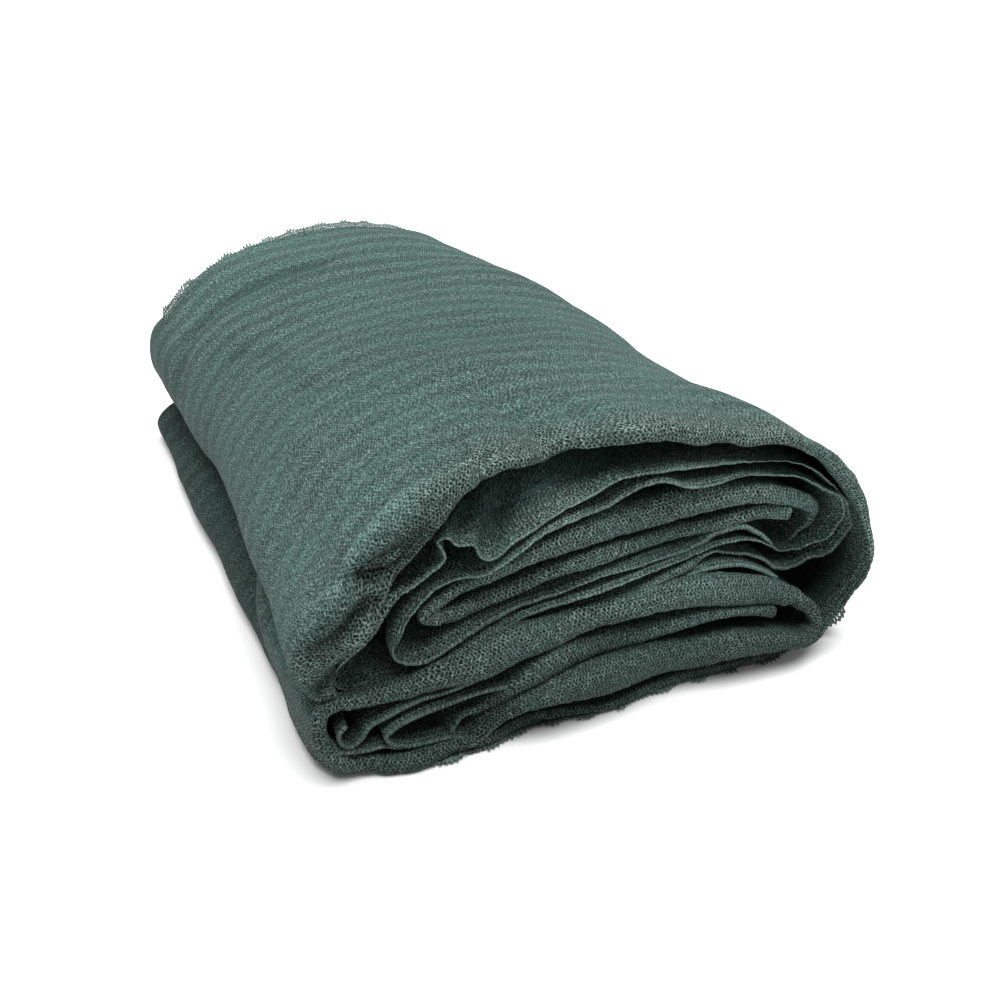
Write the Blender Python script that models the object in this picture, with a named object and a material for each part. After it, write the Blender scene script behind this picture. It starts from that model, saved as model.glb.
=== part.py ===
"""Olive harvest net, folded for storage: one strip of net laid back and forth.

The net is one cloth. It is folded along its length into a strip as long as the
bundle. Both ends of the strip are folded in, back and forth, and the strip is then
closed over them like a book: the bottom, the right side and the top are one run, and
the left side shows an upper and a lower lobe with a crease between them.

+X is the bundle's width, +Y its length from front to back, +Z is up. The origin is
the middle of the bottom of its box. All sizes are in metres.
"""
import math
from collections import namedtuple

import bpy

# Driving dimensions.
FRONT_Y = -0.375                # where the strip's front edge lies on average
BACK_Y = 0.375                  # and its back edge
HALF_WIDTH = 0.25
BACK_SKEW = 0.045               # how much further back the right side reaches
LEFT_SPREAD = 0.10              # share by which the left half widens behind the front
SPREAD_REACH = 0.45             # share of the length over which it does so
RIGHT_TAPER = 0.07              # share by which the right half narrows at the back
CROWN_WAVE = 0.018              # share by which the heights rise and fall
CROWN_TURNS = (1.25, 1.5)       # waves of the crown along the bundle, and per metre of X
SIDE_WAVE = 0.05                # how far the sides wander, for each metre of height
SIDE_TURNS = (1.4, 2.0)         # waves of the sides along the bundle, and per metre of Z
EDGE_WAVE = 0.006               # how far the strip's front and back edges wander
FRONT_TURNS = (5.4, 9.5)        # waves of the front edge per metre of X and of Z
BACK_TURNS = (4.3, -7.2)        # and of the back edge
NOSE_SHARE = 0.45               # thickness left at the strip's front and back edges
LEAF_STEPS = 10                 # sections along a leaf
TURN_STEPS = 5                  # sections round the tightest fold
TURN_STEP = 0.007               # a wider fold has one more for each of these
STATIONS = (0.0, 0.03, 0.12, 0.24, 0.38, 0.52, 0.66, 0.79, 0.9, 0.97, 1.0)
NEAR = 0.001                    # step for a leaf's direction at its end

NET_COLOUR = (0.028, 0.085, 0.072, 1.0)
NET_ROUGHNESS = 0.85

# One row for each leaf of the strip, from its end in the upper lobe to its end in the
# lower one. left and right are where the leaf's flat part ends, z_left, z_mid and
# z_right its heights, dome how late it bends down to them, thick its thickness, turn how
# far the fold to the next leaf stands out past the leaf's end, front and back how far
# its edges stand out past the average. Even rows run to the left, odd rows to the right.
Leaf = namedtuple("Leaf", "name left right z_left z_mid z_right dome thick turn front back")
LEAVES = (
    Leaf("core_low", -0.082, 0.182, 0.1120, 0.1310, 0.1210, 1.5, 0.010, 0.026, -0.016, -0.010),
    Leaf("core_high", -0.082, 0.195, 0.1370, 0.1555, 0.1400, 2.2, 0.020, 0.015, -0.010, -0.004),
    Leaf("inner_low", -0.110, 0.190, 0.0950, 0.1165, 0.1100, 1.5, 0.006, 0.034, -0.013, 0.002),
    Leaf("inner_high", -0.108, 0.210, 0.1450, 0.1775, 0.1520, 2.4, 0.006, 0.025, -0.004, -0.006),
    Leaf("middle_low", -0.128, 0.193, 0.0830, 0.1065, 0.0985, 1.5, 0.006, 0.046, -0.008, 0.000),
    Leaf("middle_high", -0.118, 0.214, 0.1620, 0.1925, 0.1640, 2.4, 0.007, 0.034, -0.006, 0.006),
    Leaf("crease_ply", -0.150, 0.190, 0.0690, 0.0965, 0.0870, 1.5, 0.006, 0.056, -0.010, 0.000),
    Leaf("cover", -0.128, 0.205, 0.1960, 0.2230, 0.1900, 2.4, 0.014, 0.072, 0.005, 0.010),
    Leaf("base", -0.165, 0.200, 0.0030, 0.0030, 0.0030, 2.0, 0.006, 0.040, 0.015, 0.005),
    Leaf("lobe_high", -0.155, 0.184, 0.0530, 0.0810, 0.0720, 1.8, 0.016, 0.034, 0.003, -0.005),
    Leaf("lobe_low", -0.120, 0.190, 0.0180, 0.0230, 0.0190, 2.0, 0.024, 0.020, 0.012, -0.010),
    Leaf("lobe_core", -0.112, 0.172, 0.0380, 0.0570, 0.0470, 2.0, 0.016, 0.000, 0.000, -0.006),
)
FOLD_THICK = 0.006              # thickness at the folds, where the layers are pressed
SWELL_POWER = 4.0               # how late a leaf thins towards its ends
BULGE_SHARE = 0.75              # how far a fold's curve follows its handles


def blend(start, end, share):
    """Value that lies the given share of the way from start to end."""
    return start + (end - start) * share


def wave(first, second, turns):
    """Wave of height 1 over two measures, with so many turns for each unit of them."""
    return math.sin(2.0 * math.pi * (turns[0] * first + turns[1] * second))


def leaf_point(leaf, x):
    """Point (x, z) of a leaf's middle surface."""
    middle = 0.5 * (leaf.left + leaf.right)
    share = (x - middle) / (0.5 * (leaf.right - leaf.left))
    end = leaf.z_left if share < 0.0 else leaf.z_right
    return x, blend(leaf.z_mid, end, abs(share) ** leaf.dome)


def leaf_end(leaf, side, reach):
    """End point of a leaf on one side, and the point that far past it, straight on."""
    x_end = leaf.right if side > 0.0 else leaf.left
    end_x, end_z = leaf_point(leaf, x_end)
    inner_x, inner_z = leaf_point(leaf, x_end - side * NEAR)
    run = math.hypot(end_x - inner_x, end_z - inner_z)
    past_x = end_x + reach * (end_x - inner_x) / run
    past_z = end_z + reach * (end_z - inner_z) / run
    return (end_x, end_z), (past_x, past_z)


def turn_point(points, share):
    """Point of the fold's cubic curve through its end points and their two handles."""
    rest = 1.0 - share
    weights = (rest ** 3, 3.0 * rest ** 2 * share, 3.0 * rest * share ** 2, share ** 3)
    return tuple(sum(w * p[axis] for w, p in zip(weights, points)) for axis in (0, 1))


def strip_section():
    """Sections along the strip: (x, z, thickness, front reach, back reach) each."""
    sections = []
    for index, leaf in enumerate(LEAVES):
        side = 1.0 if index % 2 == 1 else -1.0
        start, end = (leaf.left, leaf.right) if side > 0.0 else (leaf.right, leaf.left)
        for step in range(LEAF_STEPS + 1):
            share = step / LEAF_STEPS
            x, z = leaf_point(leaf, blend(start, end, share))
            swell = 1.0 - abs(2.0 * share - 1.0) ** SWELL_POWER
            thick = blend(FOLD_THICK, leaf.thick, swell)
            sections.append((x, z, thick, leaf.front, leaf.back))
        if index + 1 == len(LEAVES):
            break
        after = LEAVES[index + 1]
        here, past_here = leaf_end(leaf, side, leaf.turn / BULGE_SHARE)
        there, past_there = leaf_end(after, side, leaf.turn / BULGE_SHARE)
        turn_steps = TURN_STEPS + int(leaf.turn / TURN_STEP)
        for step in range(1, turn_steps):
            share = step / turn_steps
            x, z = turn_point((here, past_here, past_there, there), share)
            sections.append((
                x, z, FOLD_THICK,
                blend(leaf.front, after.front, share),
                blend(leaf.back, after.back, share),
            ))
    return sections


def normals(sections):
    """Unit normal in the XZ plane at each section of the strip."""
    found = []
    last = len(sections) - 1
    for index in range(len(sections)):
        before = sections[max(index - 1, 0)]
        after = sections[min(index + 1, last)]
        run_x, run_z = after[0] - before[0], after[1] - before[1]
        length = math.hypot(run_x, run_z)
        found.append((-run_z / length, run_x / length))
    return found


def uneven(x, z, along):
    """Moves a point of the plain section to its place that far along the bundle."""
    spread = LEFT_SPREAD * math.sin(0.5 * math.pi * min(along / SPREAD_REACH, 1.0))
    widen = 1.0 + spread if x < 0.0 else 1.0 - RIGHT_TAPER * along ** 2
    wander = SIDE_WAVE * z * wave(along, z, SIDE_TURNS)
    crown = 1.0 + CROWN_WAVE * wave(along, x, CROWN_TURNS)
    return x * widen + wander, z * crown


def strip_y(x, z, front, back, along):
    """Y of a point of the section that far along from the front edge to the back one."""
    front_y = FRONT_Y - front - EDGE_WAVE * wave(x, z, FRONT_TURNS)
    back_y = BACK_Y + back + EDGE_WAVE * wave(x, z, BACK_TURNS)
    return blend(front_y, back_y + BACK_SKEW * x / HALF_WIDTH, along)


def net_mesh():
    """Closed mesh of the folded strip, one ring of points at each station along Y."""
    sections = strip_section()
    directions = normals(sections)
    around = len(sections)
    points, faces = [], []
    for along in STATIONS:
        nose = NOSE_SHARE if along in (STATIONS[0], STATIONS[-1]) else 1.0
        for face_side in (0.5, -0.5):
            for (x, z, thick, front, back), (nx, nz) in zip(sections, directions):
                half = face_side * thick * nose
                across, up = uneven(x + half * nx, z + half * nz, along)
                points.append((across, strip_y(x, z, front, back, along), max(up, 0.0)))
    ring = 2 * around
    loop = list(range(around)) + list(range(2 * around - 1, around - 1, -1))
    for station in range(len(STATIONS) - 1):
        low, high = station * ring, (station + 1) * ring
        for here, after in zip(loop, loop[1:] + loop[:1]):
            faces.append((low + here, low + after, high + after, high + here))
    last = (len(STATIONS) - 1) * ring
    for index in range(around - 1):
        upper, lower = index, around + index
        faces.append((upper, lower, lower + 1, upper + 1))
        faces.append((last + upper, last + upper + 1, last + lower + 1, last + lower))
    return points, faces


def centred(points):
    """The points moved so that the bottom of their box is centred on the origin."""
    lows = [min(point[axis] for point in points) for axis in range(3)]
    highs = [max(point[axis] for point in points) for axis in range(3)]
    middle = (0.5 * (lows[0] + highs[0]), 0.5 * (lows[1] + highs[1]), lows[2])
    return [tuple(point[axis] - middle[axis] for axis in range(3)) for point in points]


def net_material():
    """Dark green polyethylene net."""
    material = bpy.data.materials.new("net_green")
    material.use_nodes = True
    shader = material.node_tree.nodes["Principled BSDF"]
    shader.inputs["Base Color"].default_value = NET_COLOUR
    shader.inputs["Roughness"].default_value = NET_ROUGHNESS
    shader.inputs["Metallic"].default_value = 0.0
    return material


def build_net(collection):
    """The folded net, one solid."""
    points, faces = net_mesh()
    mesh = bpy.data.meshes.new("net")
    mesh.from_pydata(centred(points), [], faces)
    mesh.update()
    mesh.shade_smooth()
    mesh.materials.append(net_material())
    net = bpy.data.objects.new("net", mesh)
    collection.objects.link(net)
    return net


def main():
    for old in list(bpy.data.objects):
        bpy.data.objects.remove(old, do_unlink=True)
    collection = bpy.data.collections.new("olive_harvest_net")
    bpy.context.scene.collection.children.link(collection)
    build_net(collection)


main()
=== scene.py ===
"""Olive harvest net, folded for storage: the looks of the folded net.

The net is one knitted cloth, folded back and forth into a strip and closed over itself
like a book. Each run of the strip is modelled as the closed form of its folded plies, with
edge lines, creases and loose plies from tables of points, and the knit is in the material.

Many points of FRONTS, of the first six creases and of the tucked plies were measured and
converted to millimetres by other scripts and then adjusted by hand. The rest were set,
some with such measurements as a guide.
"""
import math
from collections import namedtuple
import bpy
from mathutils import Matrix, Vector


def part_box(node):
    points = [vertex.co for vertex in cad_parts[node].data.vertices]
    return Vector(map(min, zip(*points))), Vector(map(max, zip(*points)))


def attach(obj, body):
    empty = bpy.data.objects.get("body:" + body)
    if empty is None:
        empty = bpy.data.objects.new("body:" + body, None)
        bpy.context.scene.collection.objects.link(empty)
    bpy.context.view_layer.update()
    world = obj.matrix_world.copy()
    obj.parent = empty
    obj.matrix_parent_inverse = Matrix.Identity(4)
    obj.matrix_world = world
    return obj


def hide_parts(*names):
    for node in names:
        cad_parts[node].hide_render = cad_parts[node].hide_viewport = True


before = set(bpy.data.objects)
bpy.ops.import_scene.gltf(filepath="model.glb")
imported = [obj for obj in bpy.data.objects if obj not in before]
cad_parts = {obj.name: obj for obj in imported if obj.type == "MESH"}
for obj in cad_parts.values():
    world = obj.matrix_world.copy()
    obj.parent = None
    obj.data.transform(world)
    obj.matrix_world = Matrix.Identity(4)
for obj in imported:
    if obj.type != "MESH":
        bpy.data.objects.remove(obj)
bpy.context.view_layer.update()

from types import SimpleNamespace

import bpy
import numpy as np
from bpy.props import FloatProperty, FloatVectorProperty, PointerProperty
from bpy.types import Operator, Panel, PropertyGroup
from mathutils import Vector

bl_info = {
    "name": "Folded Harvest Net",
    "version": (1, 0, 0),
    "blender": (4, 5, 0),
    "location": "View3D > Sidebar > Harvest Net",
    "description": "Makes a folded knitted net with its loose plies, and a studio for it",
    "category": "Add Mesh",
}

MM = 0.001
CAD_LOW, CAD_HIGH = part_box("net")

# --- The folded strip, as the frame's solid has it ------------------------------------------
FRONT_Y = -0.375                # where the strip's front edge lies on average
BACK_Y = 0.375                  # and its back edge
HALF_WIDTH = 0.25
BACK_SKEW = 0.045               # how much further back the right side reaches
LEFT_SPREAD = 0.10              # share by which the left half widens behind the front
SPREAD_REACH = 0.45             # share of the length over which it does so
RIGHT_TAPER = 0.07              # share by which the right half narrows at the back
CROWN_WAVE = 0.018              # share by which the heights rise and fall
CROWN_TURNS = (1.25, 1.5)       # waves of the crown along the bundle, and per metre of X
SIDE_WAVE = 0.05                # how far the sides wander, for each metre of height
SIDE_TURNS = (1.4, 2.0)         # waves of the sides along the bundle, and per metre of Z
EDGE_WAVE = 0.006               # how far the strip's front and back edges wander
FRONT_TURNS = (5.4, 9.5)        # waves of the front edge per metre of X and of Z
BACK_TURNS = (4.3, -7.2)        # and of the back edge
BULGE_SHARE = 0.75              # how far a fold's curve follows its handles
FOLD_THICK = 0.006              # thickness at the folds
SWELL_POWER = 4.0               # how late a leaf thins towards its ends
NEAR = 0.001                    # step by which a leaf's direction at its end is found
NOSE_SHARE = 0.45               # thickness left at the solid's front and back edges
STATIONS = (0.0, 0.03, 0.12, 0.24, 0.38, 0.52, 0.66, 0.79, 0.9, 0.97, 1.0)
LEAF_ROWS = 81                  # points of a leaf's curve
FOLD_ROWS = 61                  # points of a fold's curve

Leaf = namedtuple("Leaf", "name left right z_left z_mid z_right dome thick turn front back")
LEAVES = (
    Leaf("core_low", -0.082, 0.182, 0.1120, 0.1310, 0.1210, 1.5, 0.010, 0.026, -0.016, -0.010),
    Leaf("core_high", -0.082, 0.195, 0.1370, 0.1555, 0.1400, 2.2, 0.020, 0.015, -0.010, -0.004),
    Leaf("inner_low", -0.110, 0.190, 0.0950, 0.1165, 0.1100, 1.5, 0.006, 0.034, -0.013, 0.002),
    Leaf("inner_high", -0.108, 0.210, 0.1450, 0.1775, 0.1520, 2.4, 0.006, 0.025, -0.004, -0.006),
    Leaf("middle_low", -0.128, 0.193, 0.0830, 0.1065, 0.0985, 1.5, 0.006, 0.046, -0.008, 0.000),
    Leaf("middle_high", -0.118, 0.214, 0.1620, 0.1925, 0.1640, 2.4, 0.007, 0.034, -0.006, 0.006),
    Leaf("crease_ply", -0.150, 0.190, 0.0690, 0.0965, 0.0870, 1.5, 0.006, 0.056, -0.010, 0.000),
    Leaf("cover", -0.128, 0.205, 0.1960, 0.2230, 0.1900, 2.4, 0.014, 0.072, 0.005, 0.010),
    Leaf("base", -0.165, 0.200, 0.0030, 0.0030, 0.0030, 2.0, 0.006, 0.040, 0.015, 0.005),
    Leaf("lobe_high", -0.155, 0.184, 0.0530, 0.0810, 0.0720, 1.8, 0.016, 0.034, 0.003, -0.005),
    Leaf("lobe_low", -0.120, 0.190, 0.0180, 0.0230, 0.0190, 2.0, 0.024, 0.020, 0.012, -0.010),
    Leaf("lobe_core", -0.112, 0.172, 0.0380, 0.0570, 0.0470, 2.0, 0.016, 0.000, 0.000, -0.006),
)
NAMES = [leaf.name for leaf in LEAVES]

# How each leaf ends at the front: how far its nose bulges for its thickness, how much its
# line waves, how far the leaf rises behind it, and how far behind it the leaf has its full
# shape.
Nose = namedtuple("Nose", "bulge wavy rise reach")
NOSES = {
    "core_low": Nose(0.8, 0.0006, 0.000, 0.070),
    "core_high": Nose(0.8, 0.0006, 0.010, 0.070),
    "inner_low": Nose(1.0, 0.0005, 0.000, 0.060),
    "inner_high": Nose(1.0, 0.0006, 0.003, 0.060),
    "middle_low": Nose(1.0, 0.0005, 0.000, 0.060),
    "middle_high": Nose(1.0, 0.0006, 0.009, 0.065),
    "crease_ply": Nose(1.0, 0.0006, 0.000, 0.060),
    "cover": Nose(0.9, 0.0006, 0.000, 0.090),
    "base": Nose(0.8, 0.0006, 0.000, 0.080),
    "lobe_high": Nose(0.8, 0.0006, 0.000, 0.080),
    "lobe_low": Nose(0.7, 0.0006, 0.000, 0.080),
    "lobe_core": Nose(0.8, 0.0006, 0.000, 0.080),
}
FLANK_REACH = 0.55              # the same measure for the upper lobe's left fold
FLANK_TUCK = 0.85               # share of its spread that this fold lacks in front
FLANK_SHARES = (0.25, 0.60)     # how far from its middle, in folds, these fade out

# How far the wrap's front edge is turned in across the front at the upper lobe's left
# corner: by its height on the fold, and by its place across the bundle on the cover.
TURN_IN_HEIGHTS = (
    (64, 70, 80, 97, 118, 142, 164, 188, 211), (0, 12, 20, 21, 23, 27, 29, 27, 20))
TURN_IN_PLACES = ((-141, -124, -106, -95, -85), (20, 17, 11, 4, 0))
TURN_IN_SPAN = (-0.4, 0.5)      # from where to where on the fold, from its middle
TURN_IN_LEAST = 0.0005          # the least amount that is turned in
TURN_IN_ROUND = 0.004           # how softly the turned-in cloth bends round
TURN_IN_DIP = math.radians(22.0)    # how deep a trough runs across it
TURN_IN_DIPPED = (0.006, 0.030)     # amounts between which the trough gets its depth

# The front edge of each leaf and of the fold after it, in millimetres: x and z of its
# middle, its thickness, and how far it stands out past the leaf's own edge, if it does.
# About two points in three are within 3 mm of converted measurements. The others were set
# or moved.
Front = namedtuple("Front", "run fold")
FRONTS = {
    "core_low": Front(
        ((187, 138, 11), (155, 144, 12), (110, 135, 14), (60, 132, 14), (-20, 130, 14),
         (-50, 118, 14), (-80, 112, 14)),
        ((-107, 111, 12), (-124, 118, 12))),
    "core_high": Front(
        ((-105, 129, 11), (-75, 138, 12), (-48, 152, 15), (-19, 155, 20), (20, 155, 24),
         (57, 157, 25), (95, 165, 23), (139, 165, 19), (181, 153, 16)),
        ((208, 140, 14, -4), (225, 126, 11, -16), (229, 113, 9, -26), (221, 100, 7, -30))),
    "inner_low": Front(
        ((206, 88, 4, -24), (187, 99, 4, -10), (165, 120, 4), (143, 134, 4), (122, 132, 4),
         (107, 124, 4), (58, 121, 3), (12, 121, 3), (-18, 110, 3), (-60, 103, 4),
         (-90, 98, 4)),
        ((-110, 91, 4), (-126, 84, 4), (-142, 86, 4), (-151, 94, 4), (-153, 103, 4),
         (-142, 124, 4))),
    "inner_high": Front(
        ((-115, 141, 6), (-100, 146, 5), (-85, 146, 4), (-60, 161, 4), (-42, 170, 4),
         (-10, 175, 4), (20, 179, 4), (39, 191, 4), (53, 195, 4), (80, 187, 4),
         (105, 185, 4), (131, 185, 4), (162, 179, 4), (189, 171, 4)),
        ((210, 158, 5), (233, 144, 5), (241, 132, 5, -2), (244, 119, 5, -10),
         (237, 101, 5, -20), (220, 91, 5, -22))),
    "middle_low": Front(
        ((196, 93, 4, -16), (174, 108, 4, -5), (150, 121, 4), (125, 121, 4), (100, 118, 3),
         (44, 116, 3), (11, 111, 3), (-19, 102, 3), (-70, 93, 3), (-104, 84, 3)),
        ((-126, 73, 3), (-146, 70, 3), (-168, 70, 3), (-184, 71, 3), (-193, 78, 4),
         (-189, 97, 7), (-174, 117, 10), (-160, 133, 11), (-144, 143, 8))),
    "middle_high": Front(
        ((-125, 151, 6), (-111, 165, 5), (-115, 176, 4), (-118, 182, 4), (-112, 184, 4),
         (-104, 177, 4), (-91, 174, 4), (-86, 163, 4), (-78, 158, 4), (-66, 168, 4),
         (-40, 177, 4), (-18, 183, 4), (3, 189, 4), (23, 201, 4), (50, 203, 4),
         (98, 199, 4), (149, 191, 4), (179, 185, 4)),
        ((203, 174, 5), (227, 155, 5), (246, 131, 5, -1), (252, 115, 5, -5),
         (249, 97, 5, -14), (236, 83, 5, -16))),
    "crease_ply": Front(
        ((213, 76, 5, -12), (184, 84, 5, -3), (171, 95, 5), (155, 104, 5), (135, 110, 4),
         (118, 115, 5), (108, 113, 7), (98, 109, 9), (64, 105, 7), (30, 100, 5),
         (-34, 88, 5), (-70, 86, 5), (-95, 80, 5), (-117, 66, 6)),
        ((-140, 62, 6), (-161, 62, 7), (-180, 64, 7), (-197, 67, 7), (-208, 74, 7),
         (-215, 86, 7), (-218, 101, 7), (-213, 119, 7), (-199, 142, 7), (-182, 164, 7),
         (-165, 188, 7))),
    "cover": Front(
        ((-142, 211, 8), (-124, 221, 10), (-106, 226, 11), (-87, 226, 11), (-69, 231, 12),
         (-50, 228, 11, -6), (-28, 220, 10, -27), (-10, 227, 10, -32), (10, 229, 10, -26),
         (28, 236, 12, -6), (47, 235, 12), (65, 231, 12), (85, 224, 13), (112, 221, 13),
         (135, 213, 12), (152, 213, 12), (174, 209, 12), (190, 200, 12)),
        ((208, 187, 12), (226, 170, 13), (240, 153, 13), (249, 138, 11), (255, 116, 8),
         (255, 92, 7), (253, 69, 6), (245, 49, 5), (230, 32, 5, -4), (212, 17, 5, -12))),
    "base": Front(
        ((196, 7, 8, -24), (170, 6, 9, -18), (130, 6, 10, -14), (81, 6, 10, -19),
         (52, 6, 10, -21), (20, 6, 10, -17), (-20, 7, 11, -14), (-55, 7, 12, -12),
         (-84, 7, 12, -5), (-108, 8, 13, -10), (-140, 9, 14, -11)),
        ((-165, 9, 15, -15), (-187, 14, 15, -19), (-202, 28, 14, -19), (-209, 44, 12, -14),
         (-207, 60, 11, -9), (-199, 67, 9, -4))),
    "lobe_high": Front(
        ((-187, 67, 11), (-168, 66, 14), (-142, 66, 16), (-118, 72, 20), (-93, 75, 25),
         (-60, 80, 28), (-23, 80, 23), (15, 89, 21), (50, 95, 23), (93, 92, 28),
         (135, 81, 28)),
        ((178, 67, 21), (201, 56, 13), (214, 43, 11), (215, 32, 11), (206, 26, 11))),
    "lobe_low": Front(
        ((185, 31, 13), (159, 34, 18), (132, 37, 25), (99, 34, 29), (62, 36, 30),
         (23, 38, 29), (-6, 40, 22), (-32, 40, 15), (-51, 36, 12), (-70, 25, 9)),
        ((-88, 13, 6), (-104, 8, 5), (-113, 13, 6))),
    "lobe_core": Front(
        ((-109, 21, 7), (-101, 28, 7), (-87, 30, 8), (-72, 37, 10), (-59, 47, 11),
         (-25, 57, 20), (13, 59, 20), (49, 59, 17), (80, 66, 14), (115, 68, 9),
         (157, 59, 9)),
        ((178, 52, 13),)),
}

SECTION_STEP = 0.003            # spacing of the sections along the strip
CURVE_STEPS = 12                # steps of a curve between two of its points
THIN_SHARE = 0.55               # how thin a single ply's edge is pressed
THIN_EDGE = (0.005, 0.009)      # thicknesses between which it is less and less so
RIPPLE_WAVES = 5                # waves of a ripple
RIPPLE_HEIGHT = 2.2             # and their height together, about


def blend(start, end, share):
    """Value that lies the given share of the way from start to end."""
    return start + (end - start) * share


def wave(first, second, turns):
    """Wave of height 1 over two measures, with so many turns for each unit of them."""
    return np.sin(2.0 * math.pi * (turns[0] * first + turns[1] * second))


def smooth(value, low, high):
    """0 below low, 1 above high and an even curve between them."""
    share = np.clip((value - low) / (high - low), 0.0, 1.0)
    return share * share * (3.0 - 2.0 * share)


def ripple(first, second, size, seed):
    """Soft even noise of height about 1 from crossing waves, about size metres long."""
    draw = np.random.default_rng(seed)
    total = 0.0
    for _ in range(RIPPLE_WAVES):
        angle = draw.uniform(0.0, 2.0 * math.pi)
        turns = draw.uniform(0.6, 1.5) / size
        phase = draw.uniform(0.0, 2.0 * math.pi)
        along = first * math.cos(angle) + second * math.sin(angle)
        total = total + np.sin(2.0 * math.pi * turns * along + phase)
    return total / RIPPLE_HEIGHT


def curve(points, steps=CURVE_STEPS, axes=2):
    """Smooth curve through points, with so many steps between each two."""
    points = np.array(points, dtype=float)
    chord = np.linalg.norm(np.diff(points[:, :axes], axis=0), axis=1)
    place = np.concatenate(([0.0], np.cumsum(np.maximum(chord, 1e-6))))
    slope = np.diff(points, axis=0) / np.diff(place)[:, None]
    before = np.vstack((slope[:1], slope))
    after = np.vstack((slope, slope[-1:]))
    step = np.diff(place)
    left = np.concatenate((step[:1], step))[:, None]
    right = np.concatenate((step, step[-1:]))[:, None]
    tangent = (before * right + after * left) / (left + right)
    rows = []
    for index, width in enumerate(step):
        for share in np.arange(steps) / steps:
            cube, square = share ** 3, share ** 2
            rows.append(
                (2.0 * cube - 3.0 * square + 1.0) * points[index]
                + (cube - 2.0 * square + share) * width * tangent[index]
                + (3.0 * square - 2.0 * cube) * points[index + 1]
                + (cube - square) * width * tangent[index + 1])
    rows.append(points[-1])
    return np.array(rows)


def lengths(rows, axes=2):
    """Distance along a curve to each of its points."""
    steps = np.linalg.norm(np.diff(rows[:, :axes], axis=0), axis=1)
    return np.concatenate(([0.0], np.cumsum(steps)))


def spread_evenly(rows, shares, axes=2):
    """Rows of a curve at the given shares of its length."""
    place = lengths(rows, axes)
    wanted = np.asarray(shares) * place[-1]
    columns = [np.interp(wanted, place, rows[:, c]) for c in range(rows.shape[1])]
    return np.stack(columns, axis=1)


def leaf_point(leaf, x):
    """Point (x, z) of a leaf's middle surface."""
    middle = 0.5 * (leaf.left + leaf.right)
    share = (x - middle) / (0.5 * (leaf.right - leaf.left))
    end = leaf.z_left if share < 0.0 else leaf.z_right
    return x, blend(leaf.z_mid, end, abs(share) ** leaf.dome)


def leaf_end(leaf, side, reach):
    """End point of a leaf on one side, and the point that far past it, straight on."""
    x_end = leaf.right if side > 0.0 else leaf.left
    end_x, end_z = leaf_point(leaf, x_end)
    inner_x, inner_z = leaf_point(leaf, x_end - side * NEAR)
    run = math.hypot(end_x - inner_x, end_z - inner_z)
    past_x = end_x + reach * (end_x - inner_x) / run
    past_z = end_z + reach * (end_z - inner_z) / run
    return (end_x, end_z), (past_x, past_z)


def turn_point(points, share):
    """Point of the fold's cubic curve through its end points and their two handles."""
    rest = 1.0 - share
    weights = (rest ** 3, 3.0 * rest ** 2 * share, 3.0 * rest * share ** 2, share ** 3)
    return tuple(sum(w * p[axis] for w, p in zip(weights, points)) for axis in (0, 1))


def body_spans():
    """Curves of the solid's own section: one for each leaf and one for each fold.

    Each row is x, z, thickness, front, back, place along the leaves.
    """
    spans = []
    for index, leaf in enumerate(LEAVES):
        side = 1.0 if index % 2 == 1 else -1.0
        start, end = (leaf.left, leaf.right) if side > 0.0 else (leaf.right, leaf.left)
        rows = []
        for share in np.linspace(0.0, 1.0, LEAF_ROWS):
            x, z = leaf_point(leaf, blend(start, end, share))
            swell = 1.0 - abs(2.0 * share - 1.0) ** SWELL_POWER
            thick = blend(FOLD_THICK, leaf.thick, swell)
            rows.append((x, z, thick, leaf.front, leaf.back, index))
        spans.append(np.array(rows))
        if index + 1 == len(LEAVES):
            break
        after = LEAVES[index + 1]
        here, past_here = leaf_end(leaf, side, leaf.turn / BULGE_SHARE)
        there, past_there = leaf_end(after, side, leaf.turn / BULGE_SHARE)
        rows = []
        for share in np.linspace(0.0, 1.0, FOLD_ROWS):
            x, z = turn_point((here, past_here, past_there, there), share)
            rows.append((
                x, z, FOLD_THICK,
                blend(leaf.front, after.front, share),
                blend(leaf.back, after.back, share),
                index + share,
            ))
        spans.append(np.array(rows))
    return spans


def front_spans():
    """Curves of the front edge that match the spans of the body, in metres."""
    points, starts = [], []
    for leaf in LEAVES:
        for part in FRONTS[leaf.name]:
            starts.append(len(points))
            points += [tuple(row) + (0.0,) * (4 - len(row)) for row in part]
    rows = curve(np.array(points) * MM)
    rows[:, 2] *= blend(THIN_SHARE, 1.0, smooth(rows[:, 2], *THIN_EDGE))
    stops = [start * CURVE_STEPS for start in starts]
    return [rows[a:b + 1] for a, b in zip(stops, stops[1:])]


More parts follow.
